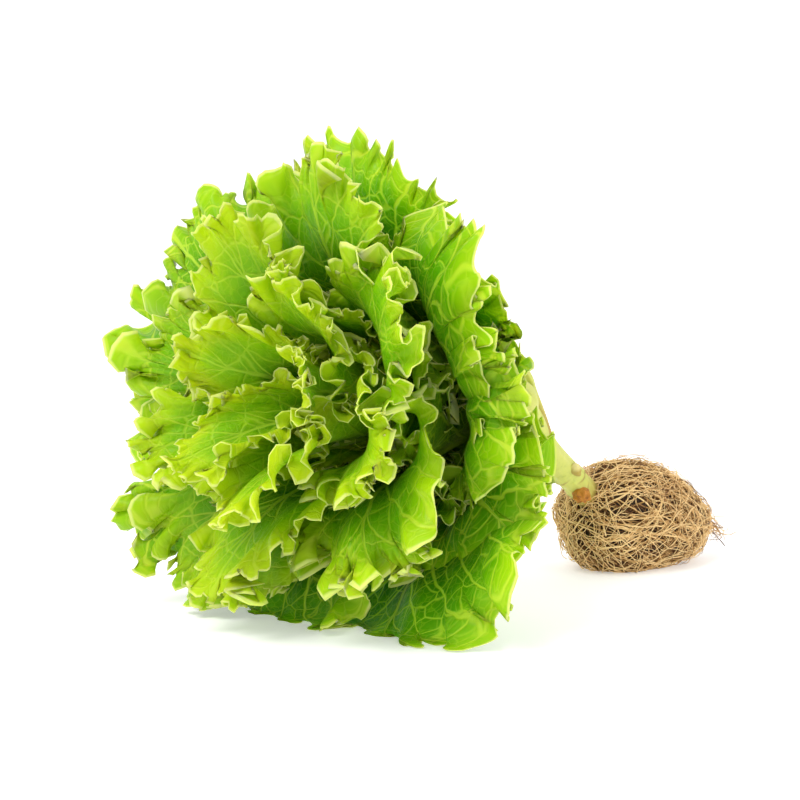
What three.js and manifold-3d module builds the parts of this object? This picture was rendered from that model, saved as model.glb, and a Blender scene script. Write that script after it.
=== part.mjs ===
// A head of green leaf lettuce, lifted with its roots and lying on its side.
//
// Units are millimetres and +Z is up. The head's growing axis runs along -X and rises a little; the bare stem
// bends down from the crown to the root ball at +X, whose underside is pressed flat where it rests.
// Every leaf is a thin closed sheet that hugs its own cup-shaped surface round the growing axis. The cups are
// nested one inside the other like the layers of the real rosette, so neighbouring leaves never meet.
import * as THREE from "three";
import Module from "manifold-3d";
import { mergeVertices } from "three/addons/utils/BufferGeometryUtils.js";

const { lerp, smoothstep, degToRad } = THREE.MathUtils;

// ---- driving dimensions -------------------------------------------------------------------------
const CLEARANCE = 0.3; // gap left where one piece seats on another
const CROWN_HEIGHT = 98; // height of the crown's centre, where the leaves spread from, above the table
const AXIS_RISE = degToRad(4); // how much the growing axis climbs towards the heart
const CROWN_RADIUS = 12; // the thickened top of the stem that carries the leaves
const CROWN_LENGTH = 46; // from the crown's centre to the growing tip
const CROWN_NECK = 14; // length over which the bare stem thickens into the crown
const STEM_RADIUS = 7;
const STEM_SOCKET_DEPTH = 9; // how far the stem's foot is held inside the root ball
const STEM_SOCKET_HEIGHT = 8; // how far the stem enters above the root ball's middle

const BLADE_THICKNESS = 1.2; // a crinkled blade, taken as a plain sheet
const RIB_THICKNESS = 1.6; // what the midrib adds on the leaf's outer side
const RIB_HALF_WIDTH = 5;
const PETIOLE_HALF_WIDTH = 6.5;
const PETIOLE_SHARE = 0.2; // share of a leaf's length below its blade
const BLADE_CENTRE = 0.6; // where the rounded blade is widest, as a share of the leaf's length
const BLADE_SWEEP = degToRad(148); // how far round that centre the free edge runs
const BASE_SPREAD = 0.22; // how much wider the leaves open right at the crown
const BASE_SPREAD_REACH = 70; // distance from the crown over which that extra opening fades
const TIP_FLARE = 0.09; // how much further out every leaf bends towards its tip
const TIP_FLARE_FROM = 80;
const TIP_FLARE_TO = 180;
const WRAP_SOFTENING = 6; // keeps narrow inner cups from rolling their leaves too tightly
const SIDE_SPREAD = 0.07; // the head opens this much more towards one side, and as much less opposite
const SIDE_SPREAD_AROUND = degToRad(75);
const SWAY = 0.05; // how much the cups wander in and out on their way round, all of them together
const SWAY_FROM = 20;
const SWAY_TO = 150;
const TABLE_SOFT_HEIGHT = 14; // below this height the leaves are pressed flatter and flatter by the table

const ROOT_BALL_TOP = new THREE.Vector3(73, 31, 31); // the blunt end that the stem enters
const ROOT_BALL_LENGTH = 86;
const ROOT_BALL_RADIUS = 29.5;
const ROOT_BALL_TAPER = 0.26; // how much slimmer the far end is than the stem end
const ROOT_BALL_DROP = degToRad(9); // its long axis dips away from the stem
const ROOT_BALL_BLUNTNESS = 0.62; // 1 is a plain ellipsoid, less is squarer at the ends
const ROOT_TAIL_LENGTH = 26;
const ROOT_TAIL_RADIUS = 4.5;
const ROOT_TAIL_DROP = 11; // how far the tail's free end hangs below its start

// The big outer leaves, outermost first. around is the compass place about the growing axis, in degrees,
// clockwise from the top as seen from the heart's side; opening is the angle the leaf keeps from that axis;
// reach is the distance of the tip from the crown; width is across the blade; flat is how much of the leaf lies
// in a plane instead of round the axis; curl is how many degrees its tip bends back.
const OUTER_LEAVES = [
  { name: "leaf_outer_bottom", around: 165, opening: 48, reach: 168, width: 176, flat: 0.3, curl: 6 },
  { name: "leaf_outer_right", around: 134, opening: 42, reach: 122, width: 116, flat: 0.5, curl: 10 },
  { name: "leaf_outer_top", around: 334, opening: 43, reach: 152, width: 158, flat: 0.3, curl: 6 },
  { name: "leaf_outer_left", around: 270, opening: 42, reach: 204, width: 160, flat: 0, curl: 14 },
  { name: "leaf_outer_bottom_left", around: 206, opening: 40, reach: 188, width: 158, flat: 0, curl: 10 },
  { name: "leaf_outer_right_upper", around: 80, opening: 34, reach: 136, width: 118, flat: 0.2, curl: 10 },
  { name: "leaf_outer_top_right", around: 46, opening: 31, reach: 148, width: 130, flat: 0.5, curl: 15 },
  { name: "leaf_outer_top_left", around: 304, opening: 34, reach: 190, width: 150, flat: 0, curl: 12 },
  { name: "leaf_outer_left_lower", around: 234, opening: 31, reach: 200, width: 150, flat: 0, curl: 14 },
];

// The inner leaves follow the golden angle from the crown's rim to the heart: first and last values.
const INNER_LEAVES = 14;
const GOLDEN_ANGLE = 137.508;
const INNER_START = 225;
const INNER_OPENING = [28, 5];
const INNER_REACH = [184, 190];
const INNER_REACH_STEPS = [4, -8, -20, 2, -16]; // every fifth leaf alike: some stand back from their neighbours
const INNER_WIDTH = [140, 66];
const INNER_BASE = [0.06, 0.16]; // where the leaf leaves the crown, as a share of its length
const INNER_CURL = [14, 8];

// Stubs of old leaves along the bare stem: at is the share of the way up from the foot, turn is round the stem
// from the top, lean is the angle it keeps from the stem.
const STEM_STUBS = [
  { name: "petiole_stub_upper", at: 0.46, turn: 15, lean: 24, length: 34, radius: 8, flatness: 0.45, look: "pale" },
  { name: "petiole_stub_lower", at: 0.17, turn: -85, lean: 24, length: 13, radius: 3.6, flatness: 0.8, look: "pale" },
  { name: "petiole_stub_dried", at: 0.14, turn: -140, lean: 75, length: 6, radius: 5.5, flatness: 0.8, look: "dried" },
];

// ---- the head's own frame -----------------------------------------------------------------------
const CROWN_CENTRE = new THREE.Vector3(0, 0, CROWN_HEIGHT);
const AXIS = new THREE.Vector3(-Math.cos(AXIS_RISE), 0, Math.sin(AXIS_RISE));
const UPWARD = new THREE.Vector3(Math.sin(AXIS_RISE), 0, Math.cos(AXIS_RISE));
const SIDEWAYS = new THREE.Vector3(0, -1, 0);

function headPoint(distance, opening, around) {
  const out = Math.sin(opening) * distance;
  return CROWN_CENTRE.clone()
    .addScaledVector(AXIS, Math.cos(opening) * distance)
    .addScaledVector(UPWARD, Math.cos(around) * out)
    .addScaledVector(SIDEWAYS, Math.sin(around) * out);
}

// The table presses what would sink into it: heights under TABLE_SOFT_HEIGHT squeeze towards zero.
function pressed(point) {
  if (point.z < TABLE_SOFT_HEIGHT) {
    point.z = TABLE_SOFT_HEIGHT * Math.exp((point.z - TABLE_SOFT_HEIGHT) / TABLE_SOFT_HEIGHT);
  }
  return point;
}

// ---- solids -------------------------------------------------------------------------------------
const wasm = await Module();
wasm.setup();

function solidOf(geometry) {
  geometry.deleteAttribute("normal");
  geometry.deleteAttribute("uv");
  const merged = mergeVertices(geometry, 1e-4);
  return new wasm.Manifold(
    new wasm.Mesh({
      numProp: 3,
      vertProperties: merged.attributes.position.array,
      triVerts: new Uint32Array(merged.index.array),
    }),
  );
}

function geometryOf(solid) {
  const mesh = solid.getMesh();
  return new THREE.BufferGeometry()
    .setAttribute("position", new THREE.BufferAttribute(mesh.vertProperties, 3))
    .setIndex(new THREE.BufferAttribute(mesh.triVerts, 1));
}

const largestBody = (solid) => solid.decompose().sort((a, b) => b.volume() - a.volume())[0];

// Two quads to a cell between row j and j + 1 of a grid, counter-clockwise seen from outside.
function gridGeometry(points, rows, columns, closeEnds) {
  const index = [];
  for (let j = 0; j < rows - 1; j++) {
    for (let i = 0; i < columns; i++) {
      const n = (i + 1) % columns;
      const [a, b] = [j * columns + i, j * columns + n];
      const [c, d] = [b + columns, a + columns];
      index.push(a, b, c, a, c, d);
    }
  }
  closeEnds(index);
  return new THREE.BufferGeometry().setFromPoints(points).setIndex(index);
}

// A solid swept along a curve with an oval section; the two end points close it.
function sweptGeometry(curve, radiusAt, steps, sides, flatness = 1) {
  const points = [];
  for (let j = 0; j <= steps; j++) {
    const centre = curve.getPointAt(j / steps);
    const ahead = curve.getTangentAt(j / steps);
    const across = new THREE.Vector3().crossVectors(UPWARD, ahead).normalize();
    const up = new THREE.Vector3().crossVectors(ahead, across);
    for (let i = 0; i < sides; i++) {
      const a = (2 * Math.PI * i) / sides;
      const radius = radiusAt(j / steps);
      points.push(
        centre
          .clone()
          .addScaledVector(across, radius * Math.cos(a))
          .addScaledVector(up, radius * flatness * Math.sin(a)),
      );
    }
  }
  points.push(curve.getPointAt(0), curve.getPointAt(1));
  return gridGeometry(points, steps + 1, sides, (index) => {
    for (let i = 0; i < sides; i++) {
      const n = (i + 1) % sides;
      index.push(points.length - 2, n, i, points.length - 1, steps * sides + i, steps * sides + n);
    }
  });
}

// ---- leaves -------------------------------------------------------------------------------------
// The flat leaf: strand runs -1..1 across the petiole and fans out into the blade; along runs 0..1 to the edge.
function flatLeaf(leaf, along, strand) {
  const centre = leaf.reach * BLADE_CENTRE;
  const tip = leaf.reach - centre;
  const side = Math.abs(strand);
  const turn = BLADE_SWEEP * Math.pow(side, 0.9);
  const radius = tip * (1 + (leaf.width / 2 / tip - 1) * Math.sin(turn));
  const edgeX = Math.sign(strand) * radius * Math.sin(turn);
  const edgeY = centre + radius * Math.cos(turn);
  const petioleX = strand * PETIOLE_HALF_WIDTH;
  const petioleEnd = leaf.reach * PETIOLE_SHARE;
  const bendY = petioleEnd + (centre - petioleEnd) * Math.pow(Math.max(0, 1 - side), 0.8);
  const start = (1 - along) ** 2;
  const bend = 2 * along * (1 - along);
  const end = along ** 2;
  return { x: (start + bend) * petioleX + end * edgeX, y: bend * bendY + end * edgeY };
}

// The same point laid on the leaf's cup, which a flat leaf leaves for the plane that touches it along the midrib.
function leafPoint(leaf, along, strand) {
  const { x, y } = flatLeaf(leaf, along, strand);
  const distance = Math.max(y, 1);
  const spread = BASE_SPREAD * (1 - smoothstep(distance, 0, BASE_SPREAD_REACH));
  const flare = TIP_FLARE * smoothstep(distance, TIP_FLARE_FROM, TIP_FLARE_TO);
  const curl = leaf.curl * Math.pow(smoothstep(distance / leaf.reach, 0.62, 1.1), 1.5);
  const opening = leaf.opening * (1 + spread + flare) + curl;
  const swayed = (around) => {
    const lean = 1 + SIDE_SPREAD * Math.cos(around - SIDE_SPREAD_AROUND);
    const sway = Math.sin(3 * around + 0.016 * distance) + 0.8 * Math.sin(5 * around - 0.022 * distance + 1);
    return opening * lean * (1 + SWAY * smoothstep(distance, SWAY_FROM, SWAY_TO) * sway);
  };
  const around = leaf.around + x / (distance * Math.sin(opening) + WRAP_SOFTENING);
  const wrapped = headPoint(distance, swayed(around), around);
  const level = headPoint(distance, swayed(leaf.around), leaf.around)
    .addScaledVector(SIDEWAYS, x * Math.cos(leaf.around))
    .addScaledVector(UPWARD, -x * Math.sin(leaf.around));
  return wrapped.lerp(level, leaf.flat);
}

// A closed sheet round leafPoint: inner face, outer face with the midrib's swelling, and the rim between them.
// grown thickens it all round.
function leafGeometry(leaf, grown) {
  const { strands, steps } = leaf;
  const half = BLADE_THICKNESS / 2 + grown;
  const h = 1e-3;
  const inner = [];
  const outer = [];
  for (let j = 0; j <= steps; j++) {
    for (let i = 0; i <= strands; i++) {
      const along = lerp(leaf.base, 1, j / steps);
      const strand = -1 + (2 * i) / strands;
      const here = leafPoint(leaf, along, strand);
      const across = leafPoint(leaf, along, strand + h).sub(leafPoint(leaf, along, strand - h));
      const ahead = leafPoint(leaf, along + h, strand).sub(leafPoint(leaf, along - h, strand));
      const normal = new THREE.Vector3().crossVectors(across, ahead).normalize();
      const rib = RIB_THICKNESS * Math.exp(-((flatLeaf(leaf, along, strand).x / RIB_HALF_WIDTH) ** 2));
      const outwards = normal.dot(AXIS) > 0 ? -1 : 1;
      if (i % strands === 0) here.addScaledVector(across.normalize(), i ? grown : -grown);
      if (j === steps) here.addScaledVector(ahead.normalize(), grown);
      inner.push(pressed(here.clone().addScaledVector(normal, -half * outwards)));
      outer.push(
        pressed(here.clone().addScaledVector(normal, (half + rib * Math.max(0, 1 - along) ** 0.7) * outwards)),
      );
    }
  }
  const columns = strands + 1;
  const lift = inner.length;
  const index = [];
  const quad = (a, b, c, d) => index.push(a, b, c, a, c, d);
  for (let j = 0; j < steps; j++) {
    const row = j * columns;
    for (let i = row; i < row + strands; i++) {
      quad(i, i + 1, i + 1 + columns, i + columns);
      quad(lift + i, lift + i + columns, lift + i + 1 + columns, lift + i + 1);
    }
    quad(row, row + columns, lift + row + columns, lift + row);
    quad(row + columns + strands, row + strands, lift + row + strands, lift + row + columns + strands);
  }
  for (let i = 0; i < strands; i++) {
    const last = steps * columns + i;
    quad(i + 1, i, lift + i, lift + i + 1);
    quad(last, last + 1, lift + last + 1, lift + last);
  }
  return new THREE.BufferGeometry().setFromPoints([...inner, ...outer]).setIndex(index);
}

function leafTable() {
  const table = OUTER_LEAVES.map((leaf) => ({ ...leaf, strands: 16, steps: 10, base: 0.05 }));
  for (let k = 0; k < INNER_LEAVES; k++) {
    const t = k / (INNER_LEAVES - 1);
    const layer = k < 5 ? "middle" : k < 10 ? "inner" : "heart";
    table.push({
      name: `leaf_${layer}_${String(k + 1).padStart(2, "0")}`,
      around: (INNER_START + k * GOLDEN_ANGLE) % 360,
      opening: lerp(...INNER_OPENING, t),
      reach: lerp(...INNER_REACH, t) + INNER_REACH_STEPS[k % INNER_REACH_STEPS.length],
      width: lerp(...INNER_WIDTH, t),
      base: lerp(...INNER_BASE, t),
      flat: 0,
      curl: lerp(...INNER_CURL, t),
      strands: 12,
      steps: 8,
    });
  }
  return table.map((leaf) => ({
    ...leaf,
    around: degToRad(leaf.around),
    opening: degToRad(leaf.opening),
    curl: degToRad(leaf.curl),
  }));
}

// ---- roots --------------------------------------------------------------------------------------
const ballAxis = new THREE.Vector3(Math.cos(ROOT_BALL_DROP), 0, -Math.sin(ROOT_BALL_DROP));
const ballUp = new THREE.Vector3(Math.sin(ROOT_BALL_DROP), 0, Math.cos(ROOT_BALL_DROP));
const ballSide = new THREE.Vector3(0, 1, 0);
const ballAt = (share) => ROOT_BALL_TOP.clone().addScaledVector(ballAxis, share * ROOT_BALL_LENGTH);

// The lumpy, tapering body of matted roots, before the stem's socket and the flat underside are cut.
function rootBallGeometry(grown) {
  const rows = 12;
  const sides = 24;
  const points = [];
  for (let j = 1; j < rows; j++) {
    const share = (1 - Math.cos((Math.PI * j) / rows)) / 2;
    const girth = Math.pow(Math.sin((Math.PI * j) / rows), ROOT_BALL_BLUNTNESS);
    const taper = lerp(1 + ROOT_BALL_TAPER / 2, 1 - ROOT_BALL_TAPER, share);
    for (let i = 0; i < sides; i++) {
      const a = (2 * Math.PI * i) / sides;
      const lumps = 1 + 0.05 * Math.sin(3 * a + 5 * share) + 0.035 * Math.cos(5 * a - 9 * share + 1);
      const radius = ROOT_BALL_RADIUS * girth * taper * lumps + grown;
      points.push(
        ballAt(share)
          .addScaledVector(ballSide, radius * Math.cos(a))
          .addScaledVector(ballUp, radius * Math.sin(a)),
      );
    }
  }
  points.push(ballAt(0).addScaledVector(ballAxis, -grown), ballAt(1).addScaledVector(ballAxis, grown));
  return gridGeometry(points, rows - 1, sides, (index) => {
    for (let i = 0; i < sides; i++) {
      const n = (i + 1) % sides;
      const last = (rows - 2) * sides;
      index.push(points.length - 2, n, i, points.length - 1, last + i, last + n);
    }
  });
}

const tailStart = ballAt(0.94).addScaledVector(ballUp, 2);
const rootTailPath = new THREE.CatmullRomCurve3([
  tailStart,
  tailStart.clone().add(new THREE.Vector3(ROOT_TAIL_LENGTH * 0.6, -1, -ROOT_TAIL_DROP * 0.2)),
  tailStart.clone().add(new THREE.Vector3(ROOT_TAIL_LENGTH, -2, -ROOT_TAIL_DROP)),
]);
const rootTailRadius = (t) => ROOT_TAIL_RADIUS * Math.sqrt(Math.max(0.01, 1 - t)) + 0.3;

// ---- stem and crown -----------------------------------------------------------------------------
const stemFoot = ROOT_BALL_TOP.clone()
  .addScaledVector(ballAxis, STEM_SOCKET_DEPTH)
  .addScaledVector(ballUp, STEM_SOCKET_HEIGHT);
const stemPath = new THREE.CatmullRomCurve3(
  [
    stemFoot,
    stemFoot.clone().add(new THREE.Vector3(-14, -5, 9)),
    stemFoot.clone().lerp(CROWN_CENTRE, 0.55).add(new THREE.Vector3(-3, 0, -1)),
    CROWN_CENTRE,
    CROWN_CENTRE.clone().addScaledVector(AXIS, CROWN_LENGTH * 0.5),
    CROWN_CENTRE.clone().addScaledVector(AXIS, CROWN_LENGTH),
  ],
  false,
  "centripetal",
);
const stemLength = stemPath.getLength();

function stemRadius(t, grown) {
  const fromCrown = t * stemLength - (stemLength - CROWN_LENGTH);
  const neck = smoothstep(fromCrown, -CROWN_NECK, 0);
  const dome = Math.sqrt(Math.max(0, 1 - (Math.max(0, fromCrown) / CROWN_LENGTH) ** 2));
  return lerp(STEM_RADIUS, CROWN_RADIUS, neck) * dome + grown + 0.02;
}

const stemSolid = (grown) => solidOf(sweptGeometry(stemPath, (t) => stemRadius(t, grown), 26, 16));

function stubSolid({ at, turn, lean, length, radius, flatness }) {
  const root = stemPath.getPointAt(at);
  const ahead = stemPath.getTangentAt(at);
  const across = new THREE.Vector3().crossVectors(UPWARD, ahead).normalize();
  const up = new THREE.Vector3().crossVectors(ahead, across);
  const [round, tilt] = [degToRad(turn), degToRad(lean)];
  const out = up.multiplyScalar(Math.cos(round)).addScaledVector(across, -Math.sin(round));
  const heading = ahead.multiplyScalar(Math.cos(tilt)).addScaledVector(out, Math.sin(tilt));
  const path = new THREE.CatmullRomCurve3([
    root,
    root.clone().addScaledVector(heading, STEM_RADIUS + length * 0.5),
    root.clone().addScaledVector(heading, STEM_RADIUS + length).addScaledVector(out, length * 0.1),
  ]);
  const tip = (t) => radius * Math.sqrt(Math.max(0.02, 1 - Math.max(0, 4 * t - 3) ** 2));
  return solidOf(sweptGeometry(path, tip, 8, 10, flatness));
}

// ---- the plant ----------------------------------------------------------------------------------
const looks = {
  outer: new THREE.MeshStandardMaterial({ color: 0x6fa414, roughness: 0.42, metalness: 0 }),
  middle: new THREE.MeshStandardMaterial({ color: 0x86b81c, roughness: 0.42, metalness: 0 }),
  heart: new THREE.MeshStandardMaterial({ color: 0xa9cf45, roughness: 0.45, metalness: 0 }),
  pale: new THREE.MeshStandardMaterial({ color: 0xd3dc94, roughness: 0.4, metalness: 0 }),
  dried: new THREE.MeshStandardMaterial({ color: 0xc98a35, roughness: 0.7, metalness: 0 }),
  roots: new THREE.MeshStandardMaterial({ color: 0xa9835a, roughness: 0.9, metalness: 0 }),
};
const lettuce = new THREE.Group();

function add(name, solid, look) {
  const mesh = new THREE.Mesh(geometryOf(solid), looks[look]);
  mesh.name = name;
  lettuce.add(mesh);
}

const tableTop = solidOf(new THREE.BoxGeometry(600, 600, 200).translate(0, 0, -100));
const stem = stemSolid(0);
const aroundStem = stemSolid(CLEARANCE + 0.15);
const rootBall = solidOf(rootBallGeometry(0)).subtract(aroundStem).subtract(tableTop);
const aroundBall = solidOf(rootBallGeometry(CLEARANCE + 0.15));
add("stem", stem, "pale");
add("root_ball", largestBody(rootBall), "roots");
const rootTail = solidOf(sweptGeometry(rootTailPath, rootTailRadius, 8, 10));
add("root_tail", largestBody(rootTail.subtract(aroundBall).subtract(tableTop)), "roots");
for (const stub of STEM_STUBS) {
  add(stub.name, largestBody(stubSolid(stub).subtract(aroundStem).subtract(aroundBall)), stub.look);
}

// Each leaf gives way to the leaves outside it where they would still touch.
const taken = [];
for (const leaf of leafTable()) {
  let sheet = solidOf(leafGeometry(leaf, 0)).subtract(aroundStem);
  for (const other of taken) {
    if (sheet.minGap(other, 1) < CLEARANCE) sheet = sheet.subtract(other);
  }
  taken.push(solidOf(leafGeometry(leaf, CLEARANCE)).add(solidOf(leafGeometry(leaf, 0))));
  add(leaf.name, largestBody(sheet), leaf.name.split("_")[1].replace("inner", "heart"));
}

// The row's origin is on the table, under the middle of the plant.
const middle = new THREE.Box3().setFromObject(lettuce).getCenter(new THREE.Vector3());
lettuce.position.set(-middle.x, -middle.y, 0);

export default lettuce;
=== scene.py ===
import math

import bpy
import numpy as np
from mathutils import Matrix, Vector


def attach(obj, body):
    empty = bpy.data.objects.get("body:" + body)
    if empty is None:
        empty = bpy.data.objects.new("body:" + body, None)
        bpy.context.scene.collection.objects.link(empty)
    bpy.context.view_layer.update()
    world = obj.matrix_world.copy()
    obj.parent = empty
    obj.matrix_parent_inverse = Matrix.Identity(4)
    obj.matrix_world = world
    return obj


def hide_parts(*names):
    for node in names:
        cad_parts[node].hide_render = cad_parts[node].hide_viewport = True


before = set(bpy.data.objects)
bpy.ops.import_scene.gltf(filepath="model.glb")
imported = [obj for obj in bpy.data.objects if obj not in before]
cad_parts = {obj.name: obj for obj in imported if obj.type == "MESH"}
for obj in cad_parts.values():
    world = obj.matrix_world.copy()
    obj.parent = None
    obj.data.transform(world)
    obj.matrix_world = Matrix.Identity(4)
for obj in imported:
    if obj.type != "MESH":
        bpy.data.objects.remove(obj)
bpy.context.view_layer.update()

# Lengths are in millimetres until a mesh is made; MM turns them into metres.
MM = 0.001

# ---- the head's own frame ---------------------------------------------------------------------------
AXIS_RISE = math.radians(4)      # the growing axis climbs this much towards the heart
CROWN_LENGTH = 46
CROWN_RADIUS = 12
AXIS = np.array([-math.cos(AXIS_RISE), 0, math.sin(AXIS_RISE)])
UPWARD = np.array([math.sin(AXIS_RISE), 0, math.cos(AXIS_RISE)])
SIDEWAYS = np.array([0.0, -1.0, 0.0])
growing_tip = min((v.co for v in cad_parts["stem"].data.vertices), key=lambda co: co.x)
CROWN = np.array(growing_tip) / MM - AXIS * CROWN_LENGTH

# ---- how every leaf lies ----------------------------------------------------------------------------
PETIOLE_HALF_WIDTH = 6.5
PETIOLE_SHARE = 0.2
BLADE_CENTRE = 0.6
BLADE_SWEEP = math.radians(148)
BASE_SPREAD = 0.22
BASE_SPREAD_REACH = 70
TIP_FLARE = 0.09
TIP_FLARE_FROM, TIP_FLARE_TO = 80, 180
WRAP_SOFTENING = 6
SIDE_SPREAD = 0.07
SIDE_SPREAD_AROUND = math.radians(75)
SWAY = 0.05
SWAY_FROM, SWAY_TO = 20, 150
CURL_FROM, CURL_TO = 0.62, 1.1       # shares of the leaf's reach
TABLE_SOFT_HEIGHT = 9
LONGEST_ROLL = 24

# around, opening, reach and width place the leaf as in the frame, except that the right one is turned 7
# degrees up and is 5 mm longer and 4 mm wider here. flat is how much of the leaf lies in a plane instead of
# round the axis, and curl how far its tip bends back. fold is how far the blade sways in slow folds, frill
# how far its free edge waves to each side, wave the length of one such wave, crimp the height of the small
# crimps on the frill, teeth how far the edge's lobes stand out and pointed how sharp they are.
OUTER_LEAVES = [
    dict(name="bottom", around=165, opening=48, reach=168, width=176, flat=0.3, curl=6,
         fold=4, frill=4.5, wave=34, crimp=1.1, teeth=6, pointed=0.2),
    dict(name="right", around=127, opening=42, reach=127, width=120, flat=0.5, curl=10,
         fold=2.5, frill=0.9, wave=60, crimp=0.1, teeth=2, pointed=0),
    dict(name="top", around=334, opening=43, reach=152, width=158, flat=0.3, curl=6,
         fold=4, frill=4, wave=32, crimp=1.2, teeth=11, pointed=1),
    dict(name="left", around=270, opening=42, reach=204, width=160, flat=0, curl=14,
         fold=7, frill=9, wave=22, crimp=2.6, teeth=6, pointed=0.5),
    dict(name="bottom_left", around=206, opening=40, reach=188, width=158, flat=0, curl=10,
         fold=7, frill=9, wave=22, crimp=2.4, teeth=6, pointed=0.5),
    dict(name="right_upper", around=80, opening=34, reach=136, width=118, flat=0.2, curl=10,
         fold=5, frill=4.2, wave=28, crimp=1.2, teeth=6, pointed=0.3),
    dict(name="top_right", around=46, opening=31, reach=148, width=130, flat=0.5, curl=15,
         fold=3, frill=2.6, wave=40, crimp=0.4, teeth=7, pointed=0),
    dict(name="top_left", around=304, opening=34, reach=190, width=150, flat=0, curl=12,
         fold=6, frill=8, wave=23, crimp=2.2, teeth=7, pointed=0.6),
    dict(name="left_lower", around=234, opening=31, reach=200, width=150, flat=0, curl=14,
         fold=7, frill=9, wave=21, crimp=2.6, teeth=6, pointed=0.4),
]
INNER_LEAVES = 14
GOLDEN_ANGLE = 137.508
INNER_START = 225
INNER_OPENING = (28, 5)
INNER_REACH = (184, 190)
INNER_REACH_STEPS = (4, -8, -20, 2, -16)
INNER_WIDTH = (140, 66)
INNER_BASE = (0.06, 0.16)


def between(low, high, t):
    """The value a share t of the way from low to high."""
    return low + (high - low) * t


def ease(x, low, high):
    """0 below low, 1 above high and a smooth rise between."""
    t = np.clip((x - low) / (high - low), 0, 1)
    return t * t * (3 - 2 * t)


def leaf_table():
    """Every leaf's values: the outer ones as listed, the inner ones turned by the golden angle."""
    table = [dict(leaf, name="outer_" + leaf["name"], layer="outer", base=0.05) for leaf in OUTER_LEAVES]
    for k in range(INNER_LEAVES):
        t = k / (INNER_LEAVES - 1)
        layer = "middle" if k < 5 else "inner" if k < 10 else "heart"
        table.append(dict(
            name=f"{layer}_{k + 1:02d}", layer=layer,
            around=(INNER_START + k * GOLDEN_ANGLE) % 360, opening=between(*INNER_OPENING, t),
            reach=between(*INNER_REACH, t) + INNER_REACH_STEPS[k % 5],
            width=between(*INNER_WIDTH, t), base=between(*INNER_BASE, t), flat=0,
            fold=between(7, 4, t), frill=between(8.5, 5, t), wave=between(18, 12, t),
            crimp=between(2.2, 1.5, t), teeth=between(6, 4, t), pointed=0.3, curl=between(14, 8, t)))
    for k, leaf in enumerate(table):
        leaf["around"] = math.radians(leaf["around"])
        leaf["opening"] = math.radians(leaf["opening"])
        leaf["seed"] = k
    return table


def flat_leaf(leaf, along, strand):
    """The flat leaf: strand fans from -1 to 1, along runs from the crown to the free edge."""
    centre = leaf["reach"] * BLADE_CENTRE
    tip = leaf["reach"] - centre
    side = np.abs(strand)
    turn = BLADE_SWEEP * side ** 0.9
    radius = tip * (1 + (leaf["width"] / 2 / tip - 1) * np.sin(turn))
    edge_x = np.sign(strand) * radius * np.sin(turn)
    edge_y = centre + radius * np.cos(turn)
    stalk_end = leaf["reach"] * PETIOLE_SHARE
    bend_y = stalk_end + (centre - stalk_end) * np.maximum(0, 1 - side) ** 0.8
    end = along ** 2
    return ((1 - end) * strand * PETIOLE_HALF_WIDTH + end * edge_x,
            2 * along * (1 - along) * bend_y + end * edge_y)


def on_cup(leaf, x, y):
    """A point of the flat leaf laid on the cup that the leaf follows round the growing axis."""
    distance = np.maximum(y, 1)
    spread = BASE_SPREAD * (1 - ease(distance, 0, BASE_SPREAD_REACH))
    flare = TIP_FLARE * ease(distance, TIP_FLARE_FROM, TIP_FLARE_TO)
    opening = leaf["opening"] * (1 + spread + flare)
    curled = ease(distance / leaf["reach"], CURL_FROM, CURL_TO) ** 1.5
    opening = opening + math.radians(leaf["curl"]) * curled

    def from_crown(around, opening):
        opening = opening * (1 + SIDE_SPREAD * np.cos(around - SIDE_SPREAD_AROUND))
        opening = opening * (1 + SWAY * ease(distance, SWAY_FROM, SWAY_TO) * (
            np.sin(3 * around + 0.016 * distance) + 0.8 * np.sin(5 * around - 0.022 * distance + 1)))
        radial = np.cos(around)[..., None] * UPWARD + np.sin(around)[..., None] * SIDEWAYS
        return distance[..., None] * (
            np.cos(opening)[..., None] * AXIS + np.sin(opening)[..., None] * radial)

    wrapped = from_crown(leaf["around"] + x / (distance * np.sin(opening) + WRAP_SOFTENING), opening)
    middle = leaf["around"] + 0 * x
    tangent = math.cos(leaf["around"]) * SIDEWAYS - math.sin(leaf["around"]) * UPWARD
    level = from_crown(middle, opening) + x[..., None] * tangent
    return CROWN + between(wrapped, level, leaf["flat"])


def pressed(points):
    """The table presses what would sink into it."""
    z = points[..., 2]
    sunk = (np.minimum(z, TABLE_SOFT_HEIGHT) - TABLE_SOFT_HEIGHT) / TABLE_SOFT_HEIGHT
    points[..., 2] = np.where(z < TABLE_SOFT_HEIGHT, TABLE_SOFT_HEIGHT * np.exp(sunk), z)
    return points


def wander(rng, s, knot):
    """Smooth random values between -1 and 1 along s, changing about once per knot."""
    count = int(np.max(np.abs(s)) / knot) + 4
    values = rng.uniform(-1, 1, 2 * count + 1)
    place = s / knot + count
    i = np.clip(np.floor(place).astype(int), 0, 2 * count - 1)
    t = place - i
    t = t * t * (3 - 2 * t)
    return values[i] * (1 - t) + values[i + 1] * t


def unit(vectors):
    """The vectors at length 1."""
    return vectors / np.maximum(np.linalg.norm(vectors, axis=-1, keepdims=True), 1e-9)


def sheet_frame(points):
    """Across, ahead and outward directions of a grid of points (rows along the leaf, columns across)."""
    across = unit(np.gradient(points, axis=1))
    ahead = unit(np.gradient(points, axis=0))
    normal = unit(np.cross(across, ahead))
    return across, ahead, normal


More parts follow.
